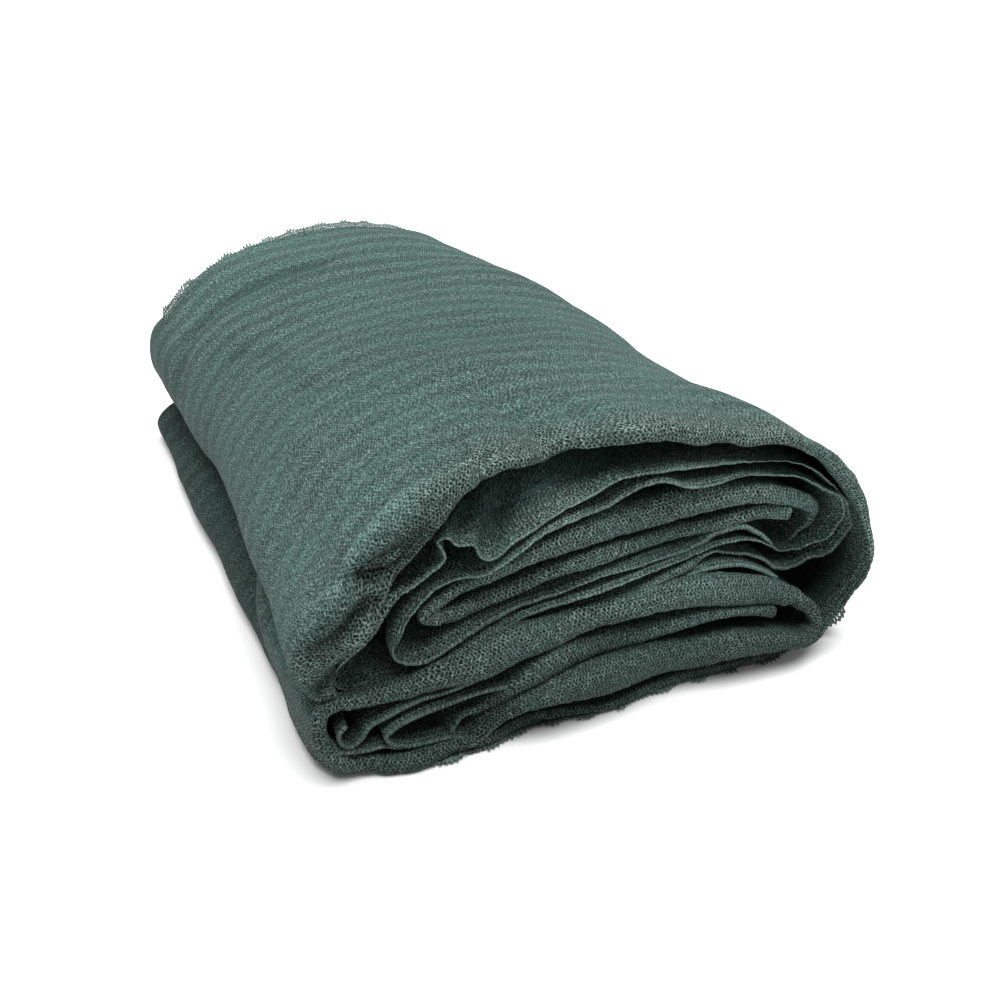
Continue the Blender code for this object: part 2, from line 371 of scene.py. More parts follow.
class Strip:
    """Arrays along the strip: one value for each of its sections."""

    def __init__(self):
        bodies, fronts = [], []
        for body, front in zip(body_spans(), front_spans()):
            longest = max(lengths(body)[-1], lengths(front)[-1])
            steps = max(int(longest / SECTION_STEP), 2)
            shares = np.arange(steps) / steps
            bodies.append(spread_evenly(body, shares))
            fronts.append(spread_evenly(front, shares))
        bodies, fronts = np.vstack(bodies), np.vstack(fronts)
        self.x, self.z, self.thick, self.front, self.back, self.leaf = bodies.T
        self.front_x, self.front_z, self.nose, self.out = fronts.T
        self.nx, self.nz = self.normals(self.x, self.z)
        self.front_nx, self.front_nz = self.normals(self.front_x, self.front_z)
        body_run = np.hypot(np.diff(self.x), np.diff(self.z))
        front_run = np.hypot(np.diff(self.front_x), np.diff(self.front_z))
        self.run = np.concatenate(([0.0], np.cumsum(0.5 * (body_run + front_run))))
        noses = np.array([NOSES[name] for name in NAMES])
        places = np.arange(len(NAMES))
        self.bulge, self.wavy, self.rise, self.reach = (
            np.interp(self.leaf, places, noses[:, c]) for c in range(noses.shape[1]))
        fold = NAMES.index("crease_ply") + 0.5
        on_flank = 1.0 - smooth(np.abs(self.leaf - fold), *FLANK_SHARES)
        self.reach = blend(self.reach, FLANK_REACH, on_flank)
        self.on_flank = on_flank
        on_cover = self.leaf == NAMES.index("cover")
        heights, by_height = np.array(TURN_IN_HEIGHTS) * MM
        places, by_place = np.array(TURN_IN_PLACES) * MM
        past = self.leaf - fold
        on_fold = (past > TURN_IN_SPAN[0]) & (past < TURN_IN_SPAN[1])
        self.turn_in = np.where(
            on_fold, np.interp(self.front_z, heights, by_height),
            np.where(on_cover, np.interp(self.front_x, places, by_place), 0.0))

    @staticmethod
    def normals(x, z):
        """Unit normals of a section."""
        run_x, run_z = np.gradient(x), np.gradient(z)
        length = np.hypot(run_x, run_z)
        return -run_z / length, run_x / length

    def section_at(self, leaf_name, x):
        """Index of the section of a leaf that is nearest to x."""
        on_leaf = np.flatnonzero(self.leaf == NAMES.index(leaf_name))
        return int(on_leaf[np.argmin(np.abs(self.x[on_leaf] - x))])


def uneven(x, z, along, share=1.0):
    """Moves points of the plain section to their place that far along the bundle."""
    spread = LEFT_SPREAD * np.sin(0.5 * math.pi * np.minimum(along / SPREAD_REACH, 1.0))
    widen = np.where(x < 0.0, 1.0 + spread * share, 1.0 - RIGHT_TAPER * along ** 2)
    wander = SIDE_WAVE * z * wave(along, z, SIDE_TURNS)
    crown = 1.0 + CROWN_WAVE * wave(along, x, CROWN_TURNS)
    return x * widen + wander, z * crown


def edge_lines(x, z, front, back):
    """Y of the strip's front and back edges at each section."""
    front_y = FRONT_Y - front - EDGE_WAVE * wave(x, z, FRONT_TURNS)
    back_y = BACK_Y + back + EDGE_WAVE * wave(x, z, BACK_TURNS)
    return front_y, back_y + BACK_SKEW * x / HALF_WIDTH


def frame_shift():
    """Shift from the strip's own axes to the frame's, from the solid's rings and its box."""
    rows = np.vstack(body_spans())
    x, z, thick, front, back = rows.T[:5]
    nx, nz = Strip.normals(x, z)
    front_y, back_y = edge_lines(x, z, front, back)
    lows, highs = [], []
    for along in STATIONS:
        for side in (0.5, -0.5):
            nose = NOSE_SHARE if along in (STATIONS[0], STATIONS[-1]) else 1.0
            half = side * thick * nose
            across, up = uneven(x + half * nx, z + half * nz, along)
            y = blend(front_y, back_y, along)
            lows.append([across.min(), y.min()])
            highs.append([across.max(), y.max()])
    low, high = np.min(lows, axis=0), np.max(highs, axis=0)
    middle = 0.5 * (np.array(CAD_LOW) + np.array(CAD_HIGH))
    return np.array([*(middle[:2] - 0.5 * (low + high)), 0.0])


STRIP = Strip()
SHIFT = frame_shift()

# --- Rings across the strip -----------------------------------------------------------------
NOSE_STEPS = 24                 # points round the front nose
BACK_NOSE_STEPS = 10            # and round the back one
WAVY_REACH = 0.030              # how far behind the front edge its waves fade out
NOSE_REACH = 0.022              # how far behind it the nose's thickness is met
FINE_START = 0.004              # how far behind the nose the first fine station lies
FINE_REACH = 0.10               # and how far behind it they run
FINE_STEP = 0.005               # spacing of the fine stations
PATH_STEP = 0.001               # step along a turned-in edge
BACK_GAP = 0.004                # how far the plain stations stay off the back nose
RING_RUN = 0.65                 # length of a leaf between its fine stations, about
TUCK_ALONG = (0.40, 0.80)       # where along the bundle the flank gets its spread back
BACK_FLARE = 0.010              # how far the left side spreads at the back
FLARE_ALONG = (0.45, 0.80)      # where along the bundle it does so
FLARE_LEFT = (0.10, 0.19)       # and how far to the left
BACK_SHOULDER = 0.014           # how far the upper left edge drops at the back
SHOULDER_X = -0.163             # where that edge lies
SHOULDER_WIDTH = 0.027          # how wide the drop is
SHOULDER_UP = (0.12, 0.17)      # how high it lies
SHOULDER_ALONG = (0.70, 0.93)   # and where along the bundle

# Small waves: their height, their length and the seed of their draw.
Wavelet = namedtuple("Wavelet", "height length seed")
EDGE_WAVELETS = (Wavelet(0.0008, 0.06, 11), Wavelet(0.0003, 0.011, 15))
CRUMPLES = (Wavelet(0.0003, 0.05, 13), Wavelet(0.0014, 0.19, 14))
LINE_WAVELETS = (Wavelet(1.0, 0.06, 12), Wavelet(0.5, 0.014, 16))
LINE_TURNS = (0.5, 1.0)         # how fast the line's waves change from leaf to leaf

# From which leaf, and what share of the fold after it, to which the strip is outside.
OUTSIDE_ENDS = (("crease_ply", 0.30), ("base", 0.85))

# How much painted shade the marks put where the strip lies out of the light and in three
# other places, and where these lie: each pair holds the ends of a smooth change, in metres or
# as a share of the bundle's length.
SHELTER_SHADE_REACH = (0.015, 0.090)
RIGHT_HOLLOW_SHADE = 2.8
RIGHT_HOLLOW_X = (0.190, 0.225)
RIGHT_HOLLOW_REACH = (0.001, 0.020)
FACE_SHADE = 1.6
FACE_EDGE = 0.006
FACE_WIDTHS = (0.004, 0.012)
LOW_BACK_SHADE = 1.3
LOW_BACK_Z = (0.06, 0.09)
LOW_BACK_LEFT = (0.16, 0.20)
LOW_BACK_ALONG = (0.10, 0.55)
THIN_NOSE = (0.0055, 0.0075)

# Troughs and ridges: points, width, height, and how much darker they are. Nearly all points
# of the first six, at the front corner, are within 3 mm of converted measurements. The
# others were set.
# A crease's tone is painted shade along a trough; below 0 it is a painted highlight along a
# ridge.
Crease = namedtuple("Crease", "points width height tone")
CREASES = (
    Crease(((-130, -381, 196), (-142, -376, 185), (-153, -370, 174), (-168, -367, 167),
            (-182, -368, 163)), 0.0075, -0.0070, 4.6),
    Crease(((-124, -368, 221), (-140, -364, 215), (-156, -364, 202), (-175, -364, 179),
            (-187, -366, 164)), 0.0060, 0.0030, -3.0),
    Crease(((-162, -372, 157), (-176, -374, 158), (-188, -373, 156), (-200, -366, 148),
            (-210, -347, 135)), 0.0060, 0.0040, -2.0),
    Crease(((-166, -374, 149), (-179, -376, 141), (-192, -376, 133), (-204, -376, 126),
            (-213, -371, 117)), 0.0070, -0.0055, 3.8),
    Crease(((-172, -380, 136), (-184, -381, 124), (-194, -374, 109), (-206, -368, 99)),
           0.0065, 0.0040, -1.6),
    Crease(((-184, -378, 113), (-191, -370, 99), (-199, -368, 90), (-208, -367, 83)),
           0.0060, -0.0040, 3.2),
    Crease(((-203, 180, 118), (-197, 215, 146), (-176, 236, 178), (-130, 244, 205),
            (-88, 240, 218), (-40, 242, 226)), 0.0200, -0.0060, 1.7),
    Crease(((-222, 335, 152), (-227, 290, 130), (-228, 235, 112)), 0.0300, 0.0, 1.5),
    Crease(((-168, 90, 176), (-150, 60, 192), (-143, -46, 200), (-139, -96, 204)),
           0.0130, -0.0030, 0.9),
)


def ring_stations(outer_step, inner_step):
    """Stations of a ring: kind, measure behind its edge or share, and side."""
    fine = list(np.arange(FINE_START, FINE_REACH, FINE_STEP))
    outer = list(np.linspace(0.0, 1.0, int(RING_RUN / outer_step)))
    inner = list(np.linspace(0.0, 1.0, int(RING_RUN / inner_step)))
    stations = []
    for angle in np.linspace(0.5 * math.pi, -0.5 * math.pi, NOSE_STEPS):
        stations.append(("front_nose", 0.0, math.sin(angle)))
    stations += [("front", reach, -1.0) for reach in fine]
    stations += [("middle", share, -1.0) for share in inner]
    for angle in np.linspace(-0.5 * math.pi, 0.5 * math.pi, BACK_NOSE_STEPS):
        stations.append(("back_nose", 0.0, math.sin(angle)))
    stations += [("middle", share, 1.0) for share in reversed(outer)]
    stations += [("front", reach, 1.0) for reach in reversed(fine)]
    return stations


def turned_in(amount, reach):
    """Path of the cloth behind its front tip where the edge is turned in.

    Returns how far out and how far back each place is, and its direction's two parts.
    The reach is the distance along the cloth, and the amount what is turned in.
    """
    fine = np.arange(0.0, FINE_REACH + 0.5 * PATH_STEP, PATH_STEP)[None, :]
    safe = np.maximum(amount, 1e-6)
    turned = amount > TURN_IN_LEAST
    bend = smooth(fine, amount - TURN_IN_ROUND, amount + TURN_IN_ROUND)
    dip = TURN_IN_DIP * np.sin(2.0 * math.pi * np.clip(fine / safe, 0.0, 1.0))
    dip = dip * smooth(amount, *TURN_IN_DIPPED)
    angle = np.where(turned, 0.5 * math.pi * bend + dip, 0.5 * math.pi)
    outward, backward = np.cos(angle), np.sin(angle)
    out = np.cumsum(outward, axis=1) * PATH_STEP - outward * PATH_STEP
    back = np.cumsum(backward, axis=1) * PATH_STEP - backward * PATH_STEP
    out = out - out[:, -1:]
    back = back * np.where(turned, 1.0, FINE_REACH / back[:, -1:])
    at = np.clip(np.round(reach / PATH_STEP).astype(int), 0, fine.shape[1] - 1)[0]
    return out[:, at], back[:, at], outward[:, at], backward[:, at], back[:, -1:]


def crease_push(points):
    """How far the creases push each point out, and the painted shade they put on it."""
    push, tone = np.zeros(len(points)), np.zeros(len(points))
    for crease in CREASES:
        line = curve(np.array(crease.points) * MM, 6)
        nearest = np.full(len(points), 9.0)
        for start, end in zip(line, line[1:]):
            step = end - start
            share = np.clip((points - start) @ step / (step @ step), 0.0, 1.0)
            off = np.linalg.norm(points - start - share[:, None] * step, axis=1)
            nearest = np.minimum(nearest, off)
        share = np.exp(-(nearest / crease.width) ** 2)
        push += crease.height * share
        tone += crease.tone * share
    return push, tone


def shelter_shade(name, leaf, side):
    """Painted shade of the strip's sides inside the bundle, out of the light: 0 to 1."""
    if name != "net_wrap":
        return 1.0 + 0.0 * leaf * side
    inner = smooth(-side, -0.2, 0.4)
    low, high = (NAMES.index(name) + share for name, share in OUTSIDE_ENDS)
    inside = (1.0 - smooth(leaf, low - 0.15, low + 0.15)) + smooth(leaf, high, high + 0.3)
    return np.maximum(inner, inside)


class Ring:
    """Stations round the strip: rows of their measures, and which of them are where."""

    def __init__(self, outer_step, inner_step):
        stations = ring_stations(outer_step, inner_step)
        self.kinds = np.array([s[0] for s in stations])
        self.reach = np.array([s[1] for s in stations])[None, :]
        self.side = np.array([s[2] for s in stations])[None, :]
        self.at_nose, self.at_front, self.at_back, self.at_middle = (
            (self.kinds == kind)[None, :]
            for kind in ("front_nose", "front", "back_nose", "middle"))
        self.fine = self.at_nose | self.at_front
        self.round = np.sqrt(np.clip(1.0 - self.side ** 2, 0.0, 1.0))
        self.count = len(stations)
        self.tip = NOSE_STEPS // 2
        self.back_tip = int(np.flatnonzero(self.kinds == "back_nose")[BACK_NOSE_STEPS // 2])


def section_columns(first, last):
    """The strip's arrays between two of its sections, as columns."""
    part = slice(first, last + 1)
    return SimpleNamespace(**{
        name: values[part][:, None] for name, values in vars(STRIP).items()})


def lengthways(at, ring):
    """Where each station lies along the bundle and how it faces there."""
    front_y = edge_lines(at.front_x, at.front_z, at.front, 0.0)[0] - at.out
    for small in EDGE_WAVELETS:
        front_y = front_y + small.height * ripple(at.run, at.leaf * 0.3, *small[1:])
    back_y = edge_lines(at.x, at.z, 0.0, at.back)[1]
    depth = 0.5 * at.nose * at.bulge
    forward = np.where(ring.at_nose, depth * ring.round, 0.0)
    fine_reach = np.where(ring.fine, ring.reach, FINE_REACH)
    out, back, outward, backward, back_end = turned_in(at.turn_in, fine_reach)
    nose_y = front_y + depth - forward * backward
    front_station = front_y + depth + back
    fine_end = front_y + depth + back_end
    back_depth = 0.5 * at.thick
    middle_y = blend(fine_end, back_y - back_depth - BACK_GAP, ring.reach)
    back_station = back_y - back_depth + back_depth * ring.round
    y = np.where(ring.at_nose, nose_y, 0.0) + np.where(ring.at_front, front_station, 0.0)
    y = y + np.where(ring.at_middle, middle_y, 0.0)
    y = y + np.where(ring.at_back, back_station, 0.0)
    behind = np.maximum(y - front_y - depth, 0.0)
    half = 0.5 * blend(at.nose, at.thick, smooth(behind, 0.0, NOSE_REACH)) * ring.side
    return SimpleNamespace(
        y=y, behind=behind, outward=outward, backward=backward,
        aside=np.where(ring.fine, half * backward + out - forward * outward, half),
        ahead=np.where(ring.fine, half * outward, 0.0),
        along=np.clip((y - front_y) / (back_y - front_y), 0.0, 1.0),
        width=float(np.mean(back_y - front_y)))


def section_points(at, ring, way):
    """Points of the rings before their creases, and the direction each of them faces."""
    fade = np.exp(-(way.behind / WAVY_REACH) ** 2)
    line = at.wavy * sum(
        small.height * ripple(at.run, at.leaf * turns, *small[1:])
        for small, turns in zip(LINE_WAVELETS, LINE_TURNS))
    lift = line * fade + at.rise * (1.0 - fade)
    share = smooth(way.behind, 0.0, at.reach)
    spread = 1.0 - FLANK_TUCK * at.on_flank * (1.0 - smooth(way.along, *TUCK_ALONG))
    body_x, body_z = uneven(at.x, at.z + lift * np.abs(at.nz), way.along, spread)
    flare = BACK_FLARE * smooth(way.along, *FLARE_ALONG) * smooth(-at.x, *FLARE_LEFT)
    shoulder = np.exp(-((at.x - SHOULDER_X) / SHOULDER_WIDTH) ** 2)
    shoulder = shoulder * smooth(at.z, *SHOULDER_UP)
    body_x = body_x - flare
    body_z = body_z - BACK_SHOULDER * shoulder * smooth(way.along, *SHOULDER_ALONG)
    toward_x, toward_z = blend(at.front_nx, at.nx, share), blend(at.front_nz, at.nz, share)
    size = np.maximum(np.hypot(toward_x, toward_z), 0.2)
    toward_x, toward_z = toward_x / size, toward_z / size
    across = blend(at.front_x, body_x, share) + way.aside * toward_x
    up = blend(at.front_z + line * fade, body_z, share) + way.aside * toward_z
    points = np.stack([across, way.y - way.ahead, np.maximum(up, 0.0)], axis=-1)
    facing = np.where(ring.fine, way.backward, 1.0)
    tipping = np.where(ring.fine, -way.outward, 0.0)
    direction = np.stack([toward_x * facing, tipping + 0.0 * toward_x, toward_z * facing],
                         axis=-1)
    return points, direction * np.sign(ring.side + 1e-9)[..., None]


def creased(points, direction, outer, at, way):
    """The points with their outer side pushed in and out by creases and crumples.

    Returns them in the frame's axes, and the creases' painted shade at each.
    """
    flat_points = points.reshape(-1, 3)
    crumple = 0.0
    for small in CRUMPLES:
        crumple = crumple + small.height * ripple(at.run + 0.0 * way.y, way.y, *small[1:])
    pushed, tone = crease_push(flat_points)
    push = (pushed + crumple.reshape(-1)) * outer
    flat_points = flat_points + direction.reshape(-1, 3) * push[:, None]
    flat_points[:, 2] = np.maximum(flat_points[:, 2], 0.0)
    flat_points += SHIFT
    return flat_points, tone


def knit_map(grid, ring, run):
    """Faces of the rings and their map: metres along the strip, and metres from the front
    tip on either side. The last two faces close the strip's ends."""
    rings, tip = len(grid), ring.tip
    turned = np.roll(grid, -tip, axis=1)
    steps = np.linalg.norm(np.roll(turned, -1, axis=1) - turned, axis=2)
    inward = np.concatenate([np.zeros((rings, 1)), -np.cumsum(steps, axis=1)], axis=1)
    outward = inward - inward[:, -1:]
    quads, maps = [], []
    for row in range(rings - 1):
        low, high = row * ring.count, (row + 1) * ring.count
        for turn in range(ring.count):
            here, after = (turn + tip) % ring.count, (turn + 1 + tip) % ring.count
            quads.append((low + here, low + after, high + after, high + here))
            place = inward if turn < ring.back_tip - tip else outward
            maps += [(run[row], place[row, turn]),
                     (run[row], place[row, turn + 1]),
                     (run[row + 1], place[row + 1, turn + 1]),
                     (run[row + 1], place[row + 1, turn])]
    start_cap = tuple(range(ring.count - 1, -1, -1))
    end_cap = tuple(range((rings - 1) * ring.count, rings * ring.count))
    maps += [(run[0], MM * i) for i in start_cap]
    maps += [(run[-1], MM * i) for i in range(ring.count)]
    return quads + [start_cap, end_cap], maps


def strip_marks(name, points, tone, outer, at, ring, way):
    """Marks for the material: painted shade at each place, how thin its ply, how open."""
    across, up = points[..., 0], points[..., 2]
    # Painted shade where the strip lies inside the bundle, out of the light.
    painted_shade_mark = shelter_shade(name, at.leaf, ring.side) * smooth(way.behind, *SHELTER_SHADE_REACH)

    # Painted shade in the hollow between the leaves and the wrap's right side.
    right_hollow_shade = smooth(at.front_x, *RIGHT_HOLLOW_X) * smooth(way.behind, *RIGHT_HOLLOW_REACH)
    right_hollow_shade = right_hollow_shade if name != "net_wrap" else 0.0
    painted_shade_mark = np.maximum(painted_shade_mark, RIGHT_HOLLOW_SHADE * right_hollow_shade)

    # Painted shade on the face of the turned-in edge, and on the lower left side towards the
    # back.
    face_shade = 1.0 - smooth(ring.reach, at.turn_in - FACE_EDGE, at.turn_in)
    face_shade = np.where(ring.fine, face_shade, 0.0) * smooth(at.turn_in, *FACE_WIDTHS)
    low_back_shade = (1.0 - smooth(up, *LOW_BACK_Z)) * smooth(-across, *LOW_BACK_LEFT)
    low_back_shade = low_back_shade * smooth(way.along, *LOW_BACK_ALONG) * outer.reshape(across.shape)
    # The creases' painted shade in troughs and painted highlight on ridges.
    painted_shade_mark = painted_shade_mark + (tone * outer).reshape(across.shape)
    painted_shade_mark = painted_shade_mark + FACE_SHADE * face_shade
    painted_shade_mark = painted_shade_mark + LOW_BACK_SHADE * low_back_shade
    thin = 1.0 - smooth(at.nose, *THIN_NOSE)
    return np.stack([painted_shade_mark + 0.0 * across, thin + 0.0 * across, 0.0 * across], axis=-1)


def knit_mesh(name, points, faces, maps, marks):
    """Smooth mesh with the knit's map and the marks."""
    mesh = bpy.data.meshes.new(name)
    mesh.from_pydata([tuple(p) for p in points], [], faces)
    layer = mesh.uv_layers.new(name="knit")
    layer.data.foreach_set("uv", np.array(maps, dtype=np.float32).reshape(-1))
    store = mesh.attributes.new("marks", "FLOAT_VECTOR", "POINT")
    store.data.foreach_set("vector", marks.astype(np.float32).reshape(-1))
    mesh.update()
    mesh.shade_smooth()
    return mesh


def linked(name, mesh):
    """New object of a mesh, in the scene."""
    piece = bpy.data.objects.new(name, mesh)
    bpy.context.scene.collection.objects.link(piece)
    return piece


def strip_piece(name, first, last, outer_step, inner_step):
    """Closed mesh of the strip between two of its sections, and its flat size."""
    at, ring = section_columns(first, last), Ring(outer_step, inner_step)
    way = lengthways(at, ring)
    points, direction = section_points(at, ring, way)
    shape = points.shape[:2]
    outer = np.broadcast_to(smooth(ring.side, 0.0, 0.9), shape).reshape(-1)
    placed, tone = creased(points, direction, outer, at, way)
    run = at.run[:, 0]
    faces, maps = knit_map(placed.reshape(*shape, 3), ring, run)
    marks = strip_marks(name, points, tone, outer, at, ring, way)
    mesh = knit_mesh(name, placed, faces, maps, marks)
    cap_edges = {
        frozenset(pair) for cap in faces[-2:] for pair in zip(cap, cap[1:] + cap[:1])}
    for edge in mesh.edges:
        if frozenset(edge.vertices) in cap_edges:
            edge.use_edge_sharp = True
    return linked(name, mesh), (way.width, float(run[-1] - run[0]))


# --- Loose plies ----------------------------------------------------------------------------
LOOSE_STEP = 0.0011             # spacing of the points along a loose ply with a ragged edge
PLAIN_STEP = 0.0025             # and along a plain one
LOOSE_ROWS = 7                  # rows of points between two of its lines
TUCK_DEPTH = 55                 # how far back a tucked ply runs, in millimetres
FRINGE_DEPTH = 12               # and how far the bottom fringe does
SLOPE_ENDS = (-100, 200)        # from where to where along the bundle a slope runs
SLOPE_STEP = 40                 # spacing of a slope's points
LINE_STEPS = 8                  # steps of a ply's line between two of its points
STITCHES_TO_LOOP = 4            # points from one loop of a ragged edge to the next
LOOP_SEED = 21
LOOP_LEAST = 0.35               # length of the shortest loop, by the longest
LOOP_WAVE = Wavelet(0.8, 0.03, 22)
PLY_SHADE_REACH = (0.004, 0.030)    # how far behind its edge a tucked ply gets painted shade
OPEN_REACH = (0.010, 0.022)     # how far behind it the knit of an open one closes

# Each loose ply is drawn through lines of points, in millimetres, from its free edge
# inwards: its thickness, how long the loops on its free edge are, and how open it is.
# More than half the points of the tucked plies, and a few of the flap and the fringes, are
# within 2 mm of converted measurements.
Loose = namedtuple("Loose", "name thick loops open lines")


def tucked(y, points):
    """Two lines of a ply tucked into a hollow: its front edge and one further back."""
    front = tuple((x, y, z) for x, z in points)
    back = tuple((x + 3, y + TUCK_DEPTH, z + 2) for x, z in points)
    return front, back


def fringed(front):
    """Two lines of a ragged edge on the floor: its free edge and the line behind it."""
    return front, tuple((x, y + FRINGE_DEPTH, max(z - 1, 2)) for x, y, z in front)


def sloped(first_x, front_heights, back_heights):
    """Two lines of a ply deep in the bundle: its front edge and its back edge."""
    return tuple(
        tuple((first_x + SLOPE_STEP * i, y, z) for i, z in enumerate(heights))
        for y, heights in zip(SLOPE_ENDS, (front_heights, back_heights)))


LOOSE = (
    Loose("back_fringe", 0.0008, 0.0052, 1.0, (
        ((-206, 350, 158), (-184, 354, 179), (-163, 358, 191), (-140, 362, 204),
         (-118, 366, 214), (-95, 370, 221), (-69, 375, 226), (-42, 381, 232),
         (-21, 385, 235), (7, 390, 237), (42, 398, 236), (77, 403, 231), (114, 407, 222),
         (144, 409, 212)),
        ((-208, 342, 152), (-183, 346, 172), (-162, 350, 184), (-140, 354, 195),
         (-118, 358, 205), (-95, 362, 214), (-69, 367, 221), (-42, 373, 228),
         (-21, 377, 231), (7, 382, 234), (42, 389, 234), (77, 393, 229), (114, 397, 220),
         (144, 399, 207)),
        ((-210, 328, 142), (-184, 332, 164), (-162, 336, 177), (-140, 340, 188),
         (-118, 344, 199), (-95, 348, 209), (-69, 353, 216), (-42, 359, 222),
         (-21, 363, 225), (7, 368, 228), (42, 375, 228), (77, 379, 223), (114, 383, 214),
         (144, 385, 201)))),
    Loose("right_flap", 0.0008, 0.0035, 1.0, (
        ((222, -356, 2), (237, -359, 3), (250, -360, 12), (262, -360, 22), (266, -356, 31)),
        ((214, -352, 12), (226, -355, 18), (239, -355, 29), (247, -354, 40),
         (251, -350, 50)))),
    Loose("left_skirt", 0.0010, 0.0020, 1.0, (
        ((-120, -370, 2), (-148, -377, 2), (-178, -368, 2), (-200, -367, 6),
         (-210, -355, 13), (-216, -318, 17), (-214, -265, 15), (-212, -204, 12),
         (-198, -140, 8)),
        ((-120, -366, 3), (-150, -374, 4), (-182, -374, 9), (-203, -373, 19),
         (-212, -354, 30), (-216, -310, 34), (-216, -260, 34), (-216, -204, 32),
         (-204, -140, 30)),
        ((-120, -356, 3), (-152, -362, 4), (-187, -375, 16), (-211, -373, 38),
         (-213, -351, 54), (-213, -305, 56), (-215, -255, 56), (-216, -204, 54),
         (-204, -140, 52)),
        ((-120, -350, 4), (-154, -352, 6), (-188, -366, 22), (-206, -364, 50),
         (-203, -345, 68), (-196, -300, 72), (-196, -250, 72), (-196, -200, 70),
         (-194, -140, 68)))),
    Loose("bottom_fringe", 0.0008, 0.0042, 1.0, fringed(
        ((-160, -374, 2), (-130, -381, 3), (-108, -381, 3), (-84, -381, 3), (-55, -373, 3),
         (-20, -374, 3), (20, -377, 3), (52, -373, 3), (81, -370, 3), (130, -369, 3),
         (170, -371, 3), (205, -368, 4)))),
    Loose("tucked_roll", 0.0030, 0.0, 0.0, tucked(-372, (
        (-64, 67), (-90, 60), (-114, 56), (-134, 55), (-146, 52), (-162, 47), (-173, 43),
        (-180, 34), (-189, 29), (-195, 35), (-196, 43), (-190, 49)))),
    Loose("tucked_line", 0.0024, 0.0, 0.0, tucked(-374, (
        (-199, 29), (-188, 26), (-174, 24), (-164, 24), (-153, 19), (-141, 18),
        (-121, 16), (-103, 10)))),
    Loose("tucked_tongue", 0.0030, 0.0, 0.0, tucked(-376, (
        (-98, 12), (-114, 17), (-133, 18), (-148, 20), (-159, 26), (-163, 33), (-157, 38),
        (-148, 42), (-135, 45), (-114, 48), (-88, 51), (-62, 49)))),
    Loose("tucked_middle", 0.0030, 0.0, 0.0, tucked(-366, (
        (66, 95), (85, 100), (104, 104), (122, 104), (142, 101), (162, 92), (180, 80)))),
    Loose("inner_slope", 0.0020, 0.0, 0.0, sloped(
        -60, (144, 153, 157, 158, 157, 153, 144), (168, 178, 182, 182, 180, 175, 166))),
    Loose("middle_slope", 0.0020, 0.0, 0.0, sloped(
        -100, (145, 160, 169, 173, 174, 172, 167, 158),
        (173, 186, 193, 196, 197, 195, 190, 180))),
    Loose("upper_slope", 0.0020, 0.0, 0.0, sloped(
        -100, (171, 184, 190, 192, 192, 190, 185, 176),
        (201, 210, 217, 219, 219, 216, 209, 197))),
)


def loose_ply(loose):
    """Thin sheet through the lines of a loose ply, with the knit's own map."""
    step = LOOSE_STEP if loose.loops else PLAIN_STEP
    lines = [curve(np.array(line) * MM, LINE_STEPS, 3) for line in loose.lines]
    count = int(lengths(lines[0], 3)[-1] / step)
    lines = [spread_evenly(line, np.linspace(0.0, 1.0, count), 3) for line in lines]
    columns = np.stack([
        curve(points, LOOSE_ROWS, 3) for points in np.stack(lines, axis=1)])
    steps = np.linalg.norm(np.diff(columns, axis=1), axis=2)
    back = np.concatenate([np.zeros((count, 1)), np.cumsum(steps, axis=1)], axis=1)
    run = lengths(lines[0], 3)[:, None] + 0.0 * back
    if loose.loops:
        chance = np.random.default_rng(LOOP_SEED).uniform(LOOP_LEAST, 1.0, count)
        looped = np.arange(count) % STITCHES_TO_LOOP < STITCHES_TO_LOOP // 2
        swing = LOOP_WAVE.height * ripple(run[:, 0], 0.0, *LOOP_WAVE[1:])
        stands = looped * chance + swing
        inward = columns[:, 1] - columns[:, 0]
        inward /= np.linalg.norm(inward, axis=1)[:, None]
        columns[:, 0] -= inward * (loose.loops * np.maximum(stands, 0.0))[:, None]
    columns[:, :, 2] = np.maximum(columns[:, :, 2], 0.5 * loose.thick)
    points = (columns + SHIFT).reshape(-1, 3)
    rows = columns.shape[1]
    quads, maps = [], []
    for across in range(count - 1):
        for row in range(rows - 1):
            corners = ((across, row), (across + 1, row), (across + 1, row + 1),
                       (across, row + 1))
            quads.append(tuple(a * rows + b for a, b in corners))
            maps += [(run[a, b], back[a, b]) for a, b in corners]
    # Tucked plies get painted shade behind their edge; open plies get none.
    painted_shade_mark = 0.0 if loose.open else 1.0
    marks = np.zeros((count, rows, 3), dtype=np.float32)
    marks[:, :, 0] = painted_shade_mark * smooth(back, *PLY_SHADE_REACH)
    marks[:, :, 1] = 1.0
    marks[:, :, 2] = loose.open * (1.0 - smooth(back, *OPEN_REACH))
    piece = linked(loose.name, knit_mesh(loose.name, points, quads, maps, marks))
    bpy.ops.object.select_all(action="DESELECT")
    bpy.context.view_layer.objects.active = piece
    piece.select_set(True)
    wall = piece.modifiers.new("wall", "SOLIDIFY")
    wall.thickness = loose.thick
    wall.offset = 0.0
    bpy.ops.object.modifier_apply(modifier="wall")
    return piece, (float(np.mean(back[:, -1])), float(run[-1, 0]))


# --- Materials ------------------------------------------------------------------------------
DRIFT = 0.0070                  # how far the knit's map drifts slowly along the cloth
JITTER = 0.0030                 # and how far quickly, from stitch to stitch
BAND_START = 0.40               # how far in front of the origin the bands start
HOLE_OFFSET = 0.43              # how far every other row of holes is moved, in stitches
HOLE_SLANT = 0.45               # and how far a hole leans over its row, in stitches
SELVEDGE_LINES = (0.0055, 0.0115)   # how far behind the edge its dotted lines run
DOT_SPACING = 0.0040            # spacing of their dots
DASH_SPACING = (0.0047, 0.0105)     # and of the bands' dashes, along the strip and across


def operation(kind, turned=False):
    """Method that adds a Math node on a value and what follows it, or the other way round."""
    def method(value, *others):
        sockets = (*others, value) if turned else (value, *others)
        return value.tree.node("ShaderNodeMath", {"operation": kind}, sockets)
    return method


